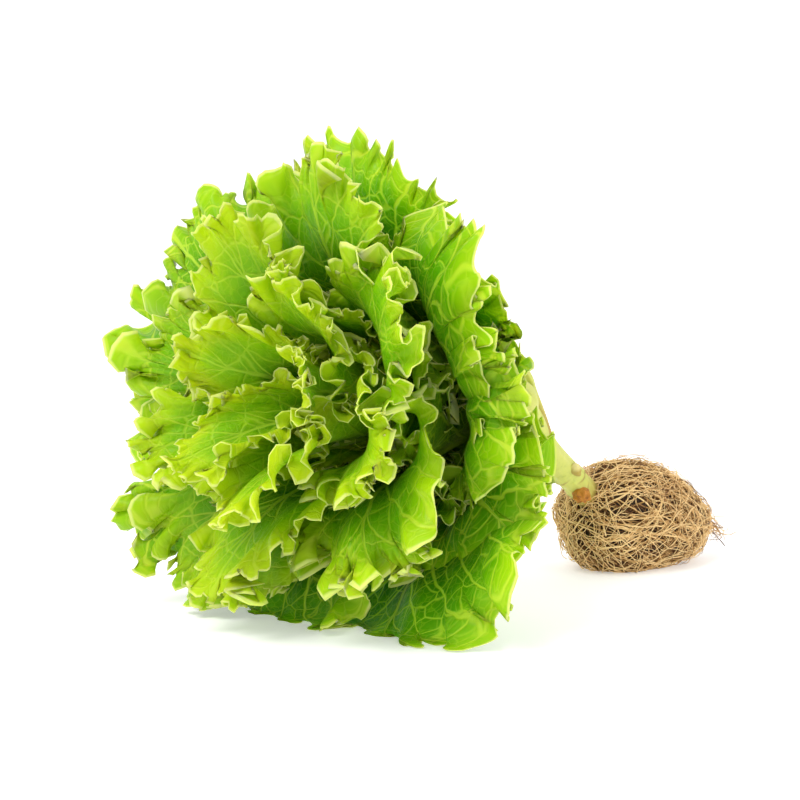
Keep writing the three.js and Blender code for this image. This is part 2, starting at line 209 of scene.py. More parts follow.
def waved(points, directions, s, strand, edge_distance, rng, height, wave, reach, lean, calm=0.5):
    """Lays one order of waves on the sheet: they fade away from the free edge and fold over sideways.
    reach is how far in they go for their length, calm how much their height changes along the edge."""
    across, _, normal = directions
    phase = 2 * math.pi * (s / wave + 0.35 * wander(rng, s, 2 * wave))
    phase = phase + 1.2 * wander(rng, s, 2 * wave) * edge_distance / wave
    depth = reach * wave * (1 + 0.35 * wander(rng, s, 1.5 * wave))
    grow = np.exp(-(edge_distance / depth) ** 1.4) * (1 + calm * wander(rng, s, 1.6 * wave))
    spacing = np.linalg.norm(np.gradient(points, axis=1), axis=-1)
    grow = grow * np.clip(spacing / np.median(spacing[-1]), 0.05, 1)
    grow = grow * (1 - 0.8 * ease(np.abs(strand), 0.75, 1))
    rise = height * grow * np.sin(phase)
    side = -lean * wave * grow * np.sin(2 * phase)
    return points + normal * rise[..., None] + across * side[..., None]


def halfway(first, second):
    """Directions between two sets of sheet directions."""
    return tuple(unit(a + b) for a, b in zip(first, second))


def rolled(points, s, strand, edge_distance, rng, depth, outwards):
    """Bends the last few millimetres before the free edge outwards, here more and there less."""
    _, ahead, normal = sheet_frame(points)
    depth = depth * (1 - ease(np.abs(strand), 0.6, 0.9))
    past = np.maximum(depth - edge_distance, 0)
    bend = np.clip(0.026 + 0.026 * wander(rng, s, 36), 0.001, None)
    angle = bend * past
    forward = np.sin(angle) / bend - past
    aside = (1 - np.cos(angle)) / bend
    return points + ahead * forward[..., None] + normal * (outwards * aside)[..., None]


def leaf_sheet(leaf):
    """The leaf's middle surface with its waves, and what its material needs to know at each point."""
    rng = np.random.default_rng(500 + leaf["seed"])
    columns, rows = leaf["columns"], leaf["rows"]
    fine_strand = np.linspace(-1, 1, 2001)
    edge = np.stack(flat_leaf(leaf, np.ones_like(fine_strand), fine_strand), -1)
    length = np.concatenate([[0], np.cumsum(np.linalg.norm(np.diff(edge, axis=0), axis=1))])
    strand = np.interp(np.linspace(0, length[-1], columns + 1), length, fine_strand)
    t = np.linspace(0, 1, rows + 1)
    along = leaf["base"] + (1 - leaf["base"]) * (1 - (1 - t) ** 1.55)
    along, strand = np.meshgrid(along, strand, indexing="ij")
    s = np.broadcast_to(np.linspace(0, length[-1], columns + 1) - length[-1] / 2, along.shape)
    x, y = flat_leaf(leaf, along, strand)
    steps = np.hypot(np.diff(x, axis=0), np.diff(y, axis=0))
    edge_distance = np.zeros(along.shape)
    edge_distance[:-1] = np.cumsum(steps[::-1], axis=0)[::-1]
    wave = leaf["wave"]
    tooth = (1 - np.abs(np.sin(math.pi * (s / (0.9 * wave) + 0.7 * wander(rng, s, 2 * wave))))) ** 1.4
    lobe = 1.4 * np.abs(np.sin(math.pi * (s / (1.1 * wave) + 0.7 * wander(rng, s, 2 * wave)))) - 0.9
    outline = between(lobe, tooth - 0.75, leaf["pointed"]) * leaf["teeth"]
    outline = outline * (1 + 0.5 * wander(rng, s, 2 * wave))
    outline = outline + 5 * wander(rng, s, 30)
    small = np.abs(np.sin(math.pi * (s / (0.3 * wave) + 0.5 * wander(rng, s, wave))))
    outline = outline + 0.25 * leaf["teeth"] * (0.6 - small)
    turn = BLADE_SWEEP * np.abs(strand) ** 0.9
    lift = outline * along ** 6 * (1 - 0.5 * np.abs(strand))
    x = x + np.sign(strand) * np.sin(turn) * lift
    y = y + np.cos(turn) * lift
    points = on_cup(leaf, x, y)
    _, _, normal = sheet_frame(points)
    outwards = np.where((normal @ AXIS).mean() > 0, -1.0, 1.0)
    swell = 1.3 * wander(rng, s * (0.4 + 0.6 * along) + 40 * along, 15) * ease(along, 0.2, 0.6)
    at_edge = (s, strand, edge_distance, rng)
    points = rolled(points, *at_edge, min(0.9 * wave, LONGEST_ROLL), outwards) + normal * swell[..., None]
    points = waved(points, sheet_frame(points), *at_edge, leaf["fold"], 2.9 * wave, 0.34, 0.05, 0.3)
    calm_sheet = sheet_frame(points)
    points = waved(points, calm_sheet, *at_edge, leaf["frill"], wave, 0.52, 0.17)
    directions = halfway(calm_sheet, sheet_frame(points))
    points = waved(points, directions, *at_edge, leaf["crimp"], 0.42 * wave, 0.6, 0.12)
    return pressed(points), dict(along=along, strand=strand, x=x, y=y, edge=edge_distance)


# ---- meshes -----------------------------------------------------------------------------------------
def mesh_object(name, points, faces, uvs=None, attributes=None):
    """A mesh object from points in millimetres and a list of arrays of same-sided faces."""
    mesh = bpy.data.meshes.new(name)
    sizes = np.concatenate([np.full(len(f), f.shape[1]) for f in faces])
    loops = np.concatenate([f.ravel() for f in faces])
    mesh.vertices.add(len(points))
    mesh.vertices.foreach_set("co", (np.asarray(points) * MM).astype(np.float32).ravel())
    mesh.loops.add(len(loops))
    mesh.loops.foreach_set("vertex_index", loops.astype(np.int32))
    mesh.polygons.add(len(sizes))
    mesh.polygons.foreach_set("loop_start", np.concatenate([[0], np.cumsum(sizes)[:-1]]).astype(np.int32))
    mesh.polygons.foreach_set("use_smooth", np.ones(len(sizes), bool))
    mesh.update(calc_edges=True)
    mesh.validate()
    for uv_name, uv in (uvs or {}).items():
        layer = mesh.uv_layers.new(name=uv_name)
        layer.data.foreach_set("uv", uv[loops].astype(np.float32).ravel())
    for attribute_name, values in (attributes or {}).items():
        attribute = mesh.attributes.new(attribute_name, "FLOAT", "POINT")
        attribute.data.foreach_set("value", values.astype(np.float32))
    piece = bpy.data.objects.new(name, mesh)
    bpy.context.scene.collection.objects.link(piece)
    return piece


def fan_faces(ids, strides):
    """Faces of a grid whose rows keep every stride-th column; they face the way across x ahead points."""
    quads, triangles = [], []
    for j in range(len(strides) - 1):
        low, high = ids[j, ::strides[j]], ids[j + 1, ::strides[j + 1]]
        if strides[j] == strides[j + 1]:
            quads.append(np.stack([low[:-1], low[1:], high[1:], high[:-1]], 1))
        else:
            left, middle, right = high[:-1:2], high[1::2], high[2::2]
            triangles += [np.stack([low[:-1], middle, left], 1), np.stack([low[:-1], low[1:], middle], 1),
                          np.stack([low[1:], right, middle], 1)]
    return quads, triangles


BLADE_HALF_THICKNESS = 0.3
EDGE_HALF_THICKNESS = 0.16
COARSE_UP_TO = 0.42        # shares of the way to the edge up to which the mesh keeps every fourth
HALVED_UP_TO = 0.74        # and every second column


def leaf_piece(leaf):
    """One leaf as a thin closed solid: inner side, outer side with the midrib, and the rim between."""
    points, at = leaf_sheet(leaf)
    along, strand, x, y = at["along"], at["strand"], at["x"], at["y"]
    _, _, normal = sheet_frame(points)
    outwards = np.where((normal @ AXIS).mean() > 0, -1.0, 1.0)
    half = between(BLADE_HALF_THICKNESS, EDGE_HALF_THICKNESS, ease(along, 0.75, 1))
    rib_width = between(5.5, 1.2, along)
    rib = 2.2 * np.exp(-(x / rib_width) ** 2) * (1 - along) ** 0.9
    inner = points - normal * ((half + 0.25 * rib) * outwards)[..., None]
    outer = points + normal * ((half + rib) * outwards)[..., None]
    rows, columns = along.shape
    strides = np.where(along[:, 0] < COARSE_UP_TO, 4, np.where(along[:, 0] < HALVED_UP_TO, 2, 1))
    keep = np.zeros(along.shape, bool)
    for j, stride in enumerate(strides):
        keep[j, ::stride] = True
    ids = np.full(along.shape, -1)
    ids[keep] = np.arange(keep.sum())
    count = keep.sum()
    quads, triangles = fan_faces(ids, strides)
    faces = []
    for group in (quads, triangles):
        if group:
            face = np.concatenate(group)
            faces += [face + (count if outwards > 0 else 0), face[:, ::-1] + (0 if outwards > 0 else count)]
    # the rim: the two long sides, the free edge and the cut base
    first, last = 0, rows - 1
    border = [ids[first, ::strides[0]], ids[:, -1], ids[last, ::strides[-1]][::-1], ids[::-1, 0]]
    loop = np.concatenate([b[:-1] for b in border])
    nxt = np.roll(loop, -1)
    rim = np.stack([loop, nxt, nxt + count, loop + count], 1)
    faces.append(rim if outwards > 0 else rim[:, ::-1])
    side = np.concatenate([np.zeros(count), np.ones(count)])

    def both(values):
        return np.tile(values[keep], 2)

    uvs = {"fan": np.stack([both(strand) * 0.5 + 0.5, both(along)], 1),
           "flat": np.stack([both(x), both(y)], 1) / 100}
    return mesh_object("blade_" + leaf["name"], np.concatenate([inner[keep], outer[keep]]), faces, uvs,
                       {"along": both(along), "edge": both(at["edge"]), "outside": side})


# columns and rows of a leaf's mesh
RESOLUTION = dict(outer=(600, 48), middle=(500, 44), inner=(424, 40), heart=(344, 37))
leaves = {}
for leaf in leaf_table():
    leaf["columns"], leaf["rows"] = RESOLUTION[leaf["layer"]]
    leaves[leaf["name"]] = (leaf, leaf_piece(leaf))


# ---- stem, stubs and roots --------------------------------------------------------------------------
# The plant's own origin: the crown stands straight above it.
ORIGIN = CROWN * np.array([1, 1, 0])
BALL_DROP = math.radians(9)
BALL_TOP = ORIGIN + np.array([73, 31, 31])
BALL_LENGTH = 86
BALL_RADIUS = 29.5
BALL_TAPER = 0.26
BALL_BLUNTNESS = 0.62
BALL_AXIS = np.array([math.cos(BALL_DROP), 0, -math.sin(BALL_DROP)])
BALL_UP = np.array([math.sin(BALL_DROP), 0, math.cos(BALL_DROP)])
BALL_SIDE = np.array([0.0, 1.0, 0.0])
STEM_RADIUS = 7
CROWN_NECK = 14
STEM_FOOT = BALL_TOP + 9 * BALL_AXIS + 8 * BALL_UP


def smooth_path(corners, count):
    """Points evenly spaced along the centripetal spline through the corners, and the spline's length."""
    corners = np.array(corners, float)
    corners = np.concatenate([[2 * corners[0] - corners[1]], corners, [2 * corners[-1] - corners[-2]]])
    knots = np.concatenate([[0], np.cumsum(np.linalg.norm(np.diff(corners, axis=0), axis=1) ** 0.5)])
    line = []
    for i in range(1, len(corners) - 2):
        t0, t1, t2, t3 = knots[i - 1:i + 3]
        p0, p1, p2, p3 = corners[i - 1:i + 3]
        t = np.linspace(t1, t2, 41)[:, None]
        a1 = (t1 - t) / (t1 - t0) * p0 + (t - t0) / (t1 - t0) * p1
        a2 = (t2 - t) / (t2 - t1) * p1 + (t - t1) / (t2 - t1) * p2
        a3 = (t3 - t) / (t3 - t2) * p2 + (t - t2) / (t3 - t2) * p3
        b1 = (t2 - t) / (t2 - t0) * a1 + (t - t0) / (t2 - t0) * a2
        b2 = (t3 - t) / (t3 - t1) * a2 + (t - t1) / (t3 - t1) * a3
        line.append(((t2 - t) / (t2 - t1) * b1 + (t - t1) / (t2 - t1) * b2)[:-1])
    line = np.concatenate(line + [corners[-2:-1]])
    reached = np.concatenate([[0], np.cumsum(np.linalg.norm(np.diff(line, axis=0), axis=1))])
    at = np.linspace(0, reached[-1], count)
    return np.stack([np.interp(at, reached, line[:, k]) for k in range(3)], 1), reached[-1]


def tube_mesh(path, radius, sides, flatness=1.0):
    """Points and faces of a closed tube along a path; radius is one value for each ring and side."""
    ahead = unit(np.gradient(path, axis=0))
    across = unit(np.cross(UPWARD, ahead))
    up = np.cross(ahead, across)
    turn = 2 * math.pi * np.arange(sides) / sides
    radius = np.broadcast_to(radius, (len(path), sides))
    rings = path[:, None] + (radius * np.cos(turn))[..., None] * across[:, None]
    rings = rings + (radius * flatness * np.sin(turn))[..., None] * up[:, None]
    ids = np.arange(len(path) * sides).reshape(len(path), sides)
    ids = np.concatenate([ids, ids[:, :1]], 1)
    quads = np.stack([ids[:-1, :-1], ids[:-1, 1:], ids[1:, 1:], ids[1:, :-1]], -1).reshape(-1, 4)
    foot, tip = len(path) * sides, len(path) * sides + 1
    caps = np.concatenate([np.stack([np.full(sides, foot), ids[0, 1:], ids[0, :-1]], 1),
                           np.stack([np.full(sides, tip), ids[-1, :-1], ids[-1, 1:]], 1)])
    points = np.concatenate([rings.reshape(-1, 3), path[:1], path[-1:]])
    return points, [quads, caps]


STEM_PATH, STEM_LENGTH = smooth_path(
    [STEM_FOOT, STEM_FOOT + (-14, -5, 9), STEM_FOOT + 0.55 * (CROWN - STEM_FOOT) + (-3, 0, -1),
     CROWN, CROWN + AXIS * CROWN_LENGTH / 2, CROWN + AXIS * CROWN_LENGTH], 220)


def stem_piece():
    """The stem from inside the root ball to the domed crown, with rings where leaves broke off."""
    sides = 72
    t = np.linspace(0, 1, len(STEM_PATH))[:, None]
    a = 2 * math.pi * np.arange(sides)[None, :] / sides
    past_crown = t * STEM_LENGTH - (STEM_LENGTH - CROWN_LENGTH)
    neck = ease(past_crown, -CROWN_NECK, 0)
    dome = np.sqrt(np.maximum(0, 1 - (np.maximum(0, past_crown) / CROWN_LENGTH) ** 2))
    radius = between(STEM_RADIUS, CROWN_RADIUS, neck) * dome + 0.02
    mm = t * STEM_LENGTH
    scar = np.zeros((len(STEM_PATH), sides))
    for at, turn, wide in ((12, 0.3, 1.9), (17, 2.6, 1.5), (23, 4.6, 1.8), (31, 1.2, 1.5), (38, 3.6, 1.6)):
        off = mm + 2.2 * np.cos(a - turn) - at
        scar = np.maximum(scar, np.exp(-(off / 0.55) ** 2) * ease(np.cos(a - turn), -0.5, 0.4))
        radius = radius + 0.75 * np.exp(-(off / wide) ** 2) * ease(np.cos(a - turn), -0.6, 0.6)
    radius = radius + 0.12 * np.sin(9 * a + 0.05 * mm) + 0.1 * np.sin(14 * a - 0.11 * mm + 2)
    radius = radius * ease(t, 0, 0.02) ** 0.3
    points, faces = tube_mesh(STEM_PATH, np.maximum(radius, 0.02), sides)
    height = np.append((mm + 0 * a).ravel(), (0, STEM_LENGTH))
    return mesh_object("stem_body", points, faces, None,
                       {"scar": np.append(scar.ravel(), (0, 0)), "height": height})


def stub_piece(name, at, turn, lean, length, radius, flatness, ragged):
    """A leaf stalk's stub on the stem: at is its share of the way up, turn its side, lean its slant."""
    k = int(round(at * (len(STEM_PATH) - 1)))
    ahead = unit(STEM_PATH[k + 1] - STEM_PATH[k - 1])
    across = unit(np.cross(UPWARD, ahead))
    up = np.cross(ahead, across)
    turn, lean = math.radians(turn), math.radians(lean)
    out = up * math.cos(turn) - across * math.sin(turn)
    heading = ahead * math.cos(lean) + out * math.sin(lean)
    reach = STEM_RADIUS + length
    path, _ = smooth_path([STEM_PATH[k], STEM_PATH[k] + heading * (STEM_RADIUS + length / 2),
                           STEM_PATH[k] + heading * reach + out * length * 0.1], 60)
    rng = np.random.default_rng(int(length))
    t = np.linspace(0, 1, 60)[:, None]
    a = 2 * math.pi * np.arange(40)[None, :] / 40
    tip = np.sqrt(np.maximum(0.004, 1 - np.maximum(0, 4 * t - 3) ** 2))
    wobble = 1 + 0.05 * np.sin(3 * a + 4 * t) + ragged * np.sin(7 * a + 3) * ease(t, 0.7, 1)
    points, faces = tube_mesh(path, radius * tip * wobble, 40, flatness)
    points = points + rng.normal(0, 0.02, points.shape)
    end = np.append((t + 0 * a).ravel(), (0, 1))
    return mesh_object(name, points, faces, None, {"scar": ease(end, 0.86, 1.0), "height": end * length})


def ball_radius(share, a):
    """The root ball's radius at a share of its length and an angle round it."""
    girth = (2 * np.sqrt(np.clip(share * (1 - share), 0, 1))) ** BALL_BLUNTNESS
    lumps = 1 + 0.05 * np.sin(3 * a + 5 * share) + 0.035 * np.cos(5 * a - 9 * share + 1)
    return BALL_RADIUS * girth * between(1 + BALL_TAPER / 2, 1 - BALL_TAPER, share) * lumps


def ball_point(share, a, lift=0.0):
    """A point of the root ball's surface: share of its length from the stem end, a round its long axis."""
    radius = ball_radius(share, a) + lift
    return (BALL_TOP + BALL_LENGTH * share[..., None] * BALL_AXIS
            + (radius * np.cos(a))[..., None] * BALL_SIDE + (radius * np.sin(a))[..., None] * BALL_UP)


def root_core():
    """The solid, dented core that the fibres lie on."""
    rows, sides = 90, 120
    share = ((1 - np.cos(math.pi * np.linspace(0.012, 0.988, rows))) / 2)[:, None]
    a = (2 * math.pi * np.arange(sides) / sides)[None, :]
    dents = 1.1 * np.sin(11 * a + 23 * share) * np.sin(17 * share + 3 * a) - 0.9
    points = ball_point(share + 0 * a, a + 0 * share, dents).reshape(-1, 3)
    points[:, 2] = np.maximum(points[:, 2], 0.15)
    ids = np.arange(rows * sides).reshape(rows, sides)
    ids = np.concatenate([ids, ids[:, :1]], 1)
    quads = np.stack([ids[:-1, :-1], ids[:-1, 1:], ids[1:, 1:], ids[1:, :-1]], -1).reshape(-1, 4)
    ends = np.array([BALL_TOP + BALL_AXIS, BALL_TOP + (BALL_LENGTH - 1) * BALL_AXIS])
    foot, tip = rows * sides, rows * sides + 1
    caps = np.concatenate([np.stack([np.full(sides, foot), ids[0, 1:], ids[0, :-1]], 1),
                           np.stack([np.full(sides, tip), ids[-1, :-1], ids[-1, 1:]], 1)])
    return mesh_object("root_core", np.concatenate([points, ends]), [quads, caps], None,
                       {"tint": np.full(rows * sides + 2, 0.3)})


# ---- materials --------------------------------------------------------------------------------------
def new_group(name, inputs, outputs):
    """An empty shader node group; inputs are (name, kind, default) and outputs are (name, kind)."""
    group = bpy.data.node_groups.new(name, "ShaderNodeTree")
    for socket, kind, default in inputs:
        made = group.interface.new_socket(name=socket, in_out="INPUT", socket_type="NodeSocket" + kind)
        if default is not None:
            made.default_value = default
    for socket, kind in outputs:
        group.interface.new_socket(name=socket, in_out="OUTPUT", socket_type="NodeSocket" + kind)
    return group, Wiring(group)


class Wiring:
    """Short ways of adding linked nodes to one node tree."""

    def __init__(self, tree):
        self.tree = tree

    def node(self, kind, values=None, **settings):
        made = self.tree.nodes.new("ShaderNode" + kind if not kind.startswith("Node") else kind)
        for key, value in settings.items():
            setattr(made, key, value)
        for key, value in (values or {}).items():
            self.feed(made.inputs[key], value)
        return made

    def feed(self, socket, value):
        if isinstance(value, bpy.types.NodeSocket):
            self.tree.links.new(value, socket)
        else:
            socket.default_value = value

    def math(self, operation, *values):
        return self.node("Math", dict(enumerate(values)), operation=operation).outputs[0]

    def ramp(self, value, low, high, to_low=0.0, to_high=1.0):
        """value rises smoothly from to_low at low to to_high at high; low may be above high."""
        made = self.node("MapRange", {"Value": value, "From Min": low, "From Max": high,
                                      "To Min": to_low, "To Max": to_high}, interpolation_type="SMOOTHSTEP")
        return made.outputs["Result"]

    def mix(self, share, first, second):
        made = self.node("Mix", data_type="RGBA")
        self.feed(made.inputs[0], share)
        self.feed(made.inputs[6], first)
        self.feed(made.inputs[7], second)
        return made.outputs[2]

    def cells(self, vector, scale):
        """Distance from the borders between scattered cells."""
        made = self.node("TexVoronoi", {"Vector": vector, "Scale": scale}, feature="DISTANCE_TO_EDGE")
        return made.outputs["Distance"]

    def noise(self, vector, scale, detail=2.0, roughness=0.5):
        return self.node("TexNoise", {"Vector": vector, "Scale": scale, "Detail": detail,
                                      "Roughness": roughness}).outputs["Fac"]


def leaf_surface_group():
    """Colour, roughness and relief of a lettuce leaf: frill, blade, painted shade further in, midrib, side
    veins, net veins and rim with its painted highlight.
    Flat is the place on the flattened leaf in tenths of a metre, Edge the distance from the free edge in
    millimetres, Along the share of the way from crown to edge, Outside 1 on the leaf's outer side."""
    group, wire = new_group(
        "leaf_surface",
        [("Place", "Vector", None), ("Flat", "Vector", None), ("Along", "Float", 1.0),
         ("Edge", "Float", 0.0), ("Outside", "Float", 0.0), ("Frill Color", "Color", (0.4, 0.6, 0.04, 1)),
         ("Blade Color", "Color", (0.2, 0.4, 0.01, 1)), ("Painted Shade Color", "Color", (0.08, 0.22, 0.004, 1)),
         ("Vein Color", "Color", (0.52, 0.70, 0.05, 1)), ("Base Color", "Color", (0.50, 0.60, 0.13, 1)),
         ("Rim Highlight Color", "Color", (0.70, 0.82, 0.22, 1)), ("Vein Strength", "Float", 0.6)],
        [("Color", "Color"), ("Roughness", "Float"), ("Height", "Float")])
    given = wire.node("NodeGroupInput").outputs
    flat, along, edge, outside = given["Flat"], given["Along"], given["Edge"], given["Outside"]
    warp = wire.node("TexNoise", {"Vector": flat, "Scale": 6.0, "Detail": 2.0}).outputs["Color"]
    warp = wire.node("VectorMath", {0: warp, 1: (0.5, 0.5, 0.5)}, operation="SUBTRACT").outputs[0]
    warp = wire.node("VectorMath", {0: warp, "Scale": 0.055}, operation="SCALE").outputs[0]
    bent = wire.node("VectorMath", {0: flat, 1: warp}, operation="ADD").outputs[0]
    parts = wire.node("SeparateXYZ", {0: bent}).outputs
    side = wire.math("ABSOLUTE", parts["X"])
    # side veins leave the midrib at a slant, one about every 22 mm, and thin out towards the edge
    slanted = wire.math("SUBTRACT", parts["Y"], wire.math("MULTIPLY", wire.math("POWER", side, 0.85), 1.05))
    from_vein = wire.math("PINGPONG", slanted, 0.11)
    vein_width = wire.ramp(along, 0.4, 1.0, 0.026, 0.010)
    veins = wire.math("SUBTRACT", 1.0, wire.ramp(wire.math("DIVIDE", from_vein, vein_width), 0.25, 1.0))
    rib_width = wire.ramp(along, 0.1, 0.95, 0.062, 0.008)
    rib = wire.math("SUBTRACT", 1.0, wire.ramp(wire.math("DIVIDE", side, rib_width), 0.35, 1.0))
    net = wire.cells(bent, 8.0)
    net = wire.math("SUBTRACT", 1.0, wire.ramp(net, 0.006, 0.055))
    fine = wire.cells(bent, 27.0)
    fine = wire.math("SUBTRACT", 1.0, wire.ramp(fine, 0.0, 0.1))
    web = wire.math("MAXIMUM", wire.math("MULTIPLY", net, 0.8), wire.math("MULTIPLY", fine, 0.3))
    web = wire.math("MAXIMUM", wire.math("MAXIMUM", veins, rib), web)
    # from the frill through the blade and the painted shade far from the edge down to the pale base
    patches = wire.noise(given["Place"], 30.0, 3.0)
    depth = wire.math("ADD", edge, wire.math("MULTIPLY", wire.math("SUBTRACT", patches, 0.5), 26.0))
    colour = wire.mix(wire.ramp(depth, 2.0, 22.0), given["Frill Color"], given["Blade Color"])
    # painted shade: the colour turns dark green 20 to 60 mm in from the edge, where the leaf's cups lie in
    # shade
    colour = wire.mix(wire.ramp(depth, 20.0, 60.0), colour, given["Painted Shade Color"])
    colour = wire.mix(wire.ramp(along, 0.5, 0.22), colour, given["Base Color"])
    mottle = wire.ramp(wire.noise(given["Place"], 110.0, 4.0), 0.35, 0.7, 0.0, 0.22)
    colour = wire.mix(mottle, colour, given["Frill Color"])
    colour = wire.mix(wire.math("MULTIPLY", web, given["Vein Strength"]), colour, given["Vein Color"])
    # painted highlight: a pale line along the free edge, where light shines through the thin rim
    colour = wire.mix(wire.ramp(edge, 1.3, 0.5, 0.0, 0.85), colour, given["Rim Highlight Color"])
    colour = wire.mix(wire.math("MULTIPLY", outside, 0.12), colour, given["Vein Color"])
    out = wire.node("NodeGroupOutput")
    wire.feed(out.inputs["Color"], colour)
    sheen = wire.ramp(wire.noise(given["Place"], 45.0, 2.0), 0.3, 0.7, 0.3, 0.48)
    wire.feed(out.inputs["Roughness"], wire.math("ADD", sheen, wire.math("MULTIPLY", outside, 0.1)))
    # veins stand out on the outer side and lie in furrows on the inner side
    relief = wire.math("MULTIPLY", web, wire.math("SUBTRACT", wire.math("MULTIPLY", outside, 1.6), 0.7))
    blisters = wire.noise(bent, 38.0, 2.0)
    wire.feed(out.inputs["Height"], wire.math("ADD", relief, blisters))
    return group


def new_material(name):
    """A material with its wiring and its Principled shader."""
    material = bpy.data.materials.new(name)
    material.use_nodes = True
    return material, Wiring(material.node_tree), material.node_tree.nodes["Principled BSDF"]


LEAF_SURFACE = leaf_surface_group()


def leaf_material(name, frill, blade, painted_shade, vein_strength):
    """Moist, slightly translucent leaf: frill and blade are its colours from the edge inwards, and the
    third colour is painted shade further in.
    """
    material, wire, shader = new_material(name)
    look = wire.node("Group", node_tree=LEAF_SURFACE)
    wire.feed(look.inputs["Place"], wire.node("TexCoord").outputs["Object"])
    wire.feed(look.inputs["Flat"], wire.node("UVMap", uv_map="flat").outputs["UV"])
    for socket in ("Along", "Edge", "Outside"):
        attribute = wire.node("Attribute", attribute_name=socket.lower())
        wire.feed(look.inputs[socket], attribute.outputs["Fac"])
    look.inputs["Frill Color"].default_value = (*frill, 1)
    look.inputs["Blade Color"].default_value = (*blade, 1)
    look.inputs["Painted Shade Color"].default_value = (*painted_shade, 1)
    look.inputs["Vein Strength"].default_value = vein_strength
    bump = wire.node("Bump", {"Height": look.outputs["Height"], "Strength": 0.55, "Distance": 0.0009})
    wire.feed(shader.inputs["Base Color"], look.outputs["Color"])
    wire.feed(shader.inputs["Roughness"], look.outputs["Roughness"])
    wire.feed(shader.inputs["Normal"], bump.outputs["Normal"])
    shader.inputs["Specular IOR Level"].default_value = 0.12
    shader.inputs["Subsurface Weight"].default_value = 0.65
    shader.inputs["Subsurface Radius"].default_value = (0.8, 1.0, 0.1)
    shader.inputs["Subsurface Scale"].default_value = 0.0025
    return material


def fibre_surface_group():
    """Streaked, mottled colour for stems and roots. Tint picks the strand's own shade."""
    group, wire = new_group(
        "fibre_surface",
        [("Place", "Vector", None), ("Tint", "Float", 0.5), ("Pale Color", "Color", (0.6, 0.42, 0.2, 1)),
         ("Middle Color", "Color", (0.32, 0.2, 0.09, 1)), ("Dark Color", "Color", (0.07, 0.035, 0.015, 1)),
         ("Patch Scale", "Float", 60.0), ("Relief", "Float", 0.5)],
        [("Color", "Color"), ("Roughness", "Float"), ("Height", "Float")])
    given = wire.node("NodeGroupInput").outputs
    patches = wire.noise(given["Place"], given["Patch Scale"], 4.0, 0.6)
    grains = wire.noise(given["Place"], wire.math("MULTIPLY", given["Patch Scale"], 9.0), 3.0, 0.6)
    shade = wire.math("ADD", wire.math("MULTIPLY", patches, 0.75), wire.math("MULTIPLY", grains, 0.3))
    shade = wire.math("ADD", shade, wire.math("MULTIPLY", wire.math("SUBTRACT", given["Tint"], 0.5), 0.9))
    colour = wire.mix(wire.ramp(shade, 0.3, 0.52), given["Dark Color"], given["Middle Color"])
    colour = wire.mix(wire.ramp(shade, 0.48, 0.85), colour, given["Pale Color"])
    out = wire.node("NodeGroupOutput")
    wire.feed(out.inputs["Color"], colour)
    wire.feed(out.inputs["Roughness"], wire.ramp(grains, 0.3, 0.7, 0.55, 0.85))
    wire.feed(out.inputs["Height"], wire.math("MULTIPLY", grains, given["Relief"]))
    return group


FIBRE_SURFACE = fibre_surface_group()


def fibre_look(name, pale, middle, dark, patch_scale, relief, tint=None):
    """A material with the fibre surface; its colour is left for the caller to wire."""
    material, wire, shader = new_material(name)
    look = wire.node("Group", {"Patch Scale": patch_scale, "Relief": relief}, node_tree=FIBRE_SURFACE)
    wire.feed(look.inputs["Place"], wire.node("TexCoord").outputs["Object"])
    if tint:
        wire.feed(look.inputs["Tint"], wire.node("Attribute", attribute_name=tint).outputs["Fac"])
    for socket, colour in (("Pale Color", pale), ("Middle Color", middle), ("Dark Color", dark)):
        look.inputs[socket].default_value = (*colour, 1)
    bump = wire.node("Bump", {"Height": look.outputs["Height"], "Strength": 0.6, "Distance": 0.0006})
    wire.feed(shader.inputs["Roughness"], look.outputs["Roughness"])
    wire.feed(shader.inputs["Normal"], bump.outputs["Normal"])
    return material, wire, shader, look


def stem_look(name, scar_colour):
    """Moist pale flesh; the scar attribute gives it another colour where a leaf broke off."""
    material, wire, shader, look = fibre_look(
        name, (0.74, 0.72, 0.20), (0.60, 0.63, 0.13), (0.42, 0.48, 0.07), 75.0, 0.25)
    scar = wire.node("Attribute", attribute_name="scar").outputs["Fac"]
    height = wire.node("Attribute", attribute_name="height").outputs["Fac"]
    colour = wire.mix(wire.ramp(height, 28.0, 8.0, 0.0, 0.75), look.outputs["Color"], (0.42, 0.25, 0.05, 1))
    colour = wire.mix(wire.math("MULTIPLY", scar, 0.85), colour, (*scar_colour, 1))
    wire.feed(shader.inputs["Base Color"], colour)
    shader.inputs["Subsurface Weight"].default_value = 0.4
    shader.inputs["Subsurface Radius"].default_value = (1.0, 0.9, 0.35)
    shader.inputs["Subsurface Scale"].default_value = 0.004
    shader.inputs["Coat Weight"].default_value = 0.15
    return material


def plain_fibre_look(name, pale, middle, dark, patch_scale, relief, tint=None):
    """Fibre surface with nothing else on it."""
    material, wire, shader, look = fibre_look(name, pale, middle, dark, patch_scale, relief, tint)
    wire.feed(shader.inputs["Base Color"], look.outputs["Color"])
    return material


STEM_LOOK = stem_look("stem_pale_green", (0.24, 0.10, 0.02))
STUB_LOOK = stem_look("stub_pale_green", (0.80, 0.70, 0.30))
DRIED_LOOK = plain_fibre_look(
    "stub_dried", (0.88, 0.46, 0.07), (0.58, 0.22, 0.02), (0.16, 0.05, 0.006), 260.0, 1.4)
CORE_LOOK = plain_fibre_look(
    "root_core_brown", (0.30, 0.16, 0.05), (0.12, 0.055, 0.015), (0.03, 0.012, 0.003), 90.0, 1.6, "tint")
ROOT_LOOK = plain_fibre_look(
    "root_fibre_tan", (0.95, 0.68, 0.32), (0.62, 0.36, 0.12), (0.15, 0.06, 0.012), 45.0, 0.4, "tint")


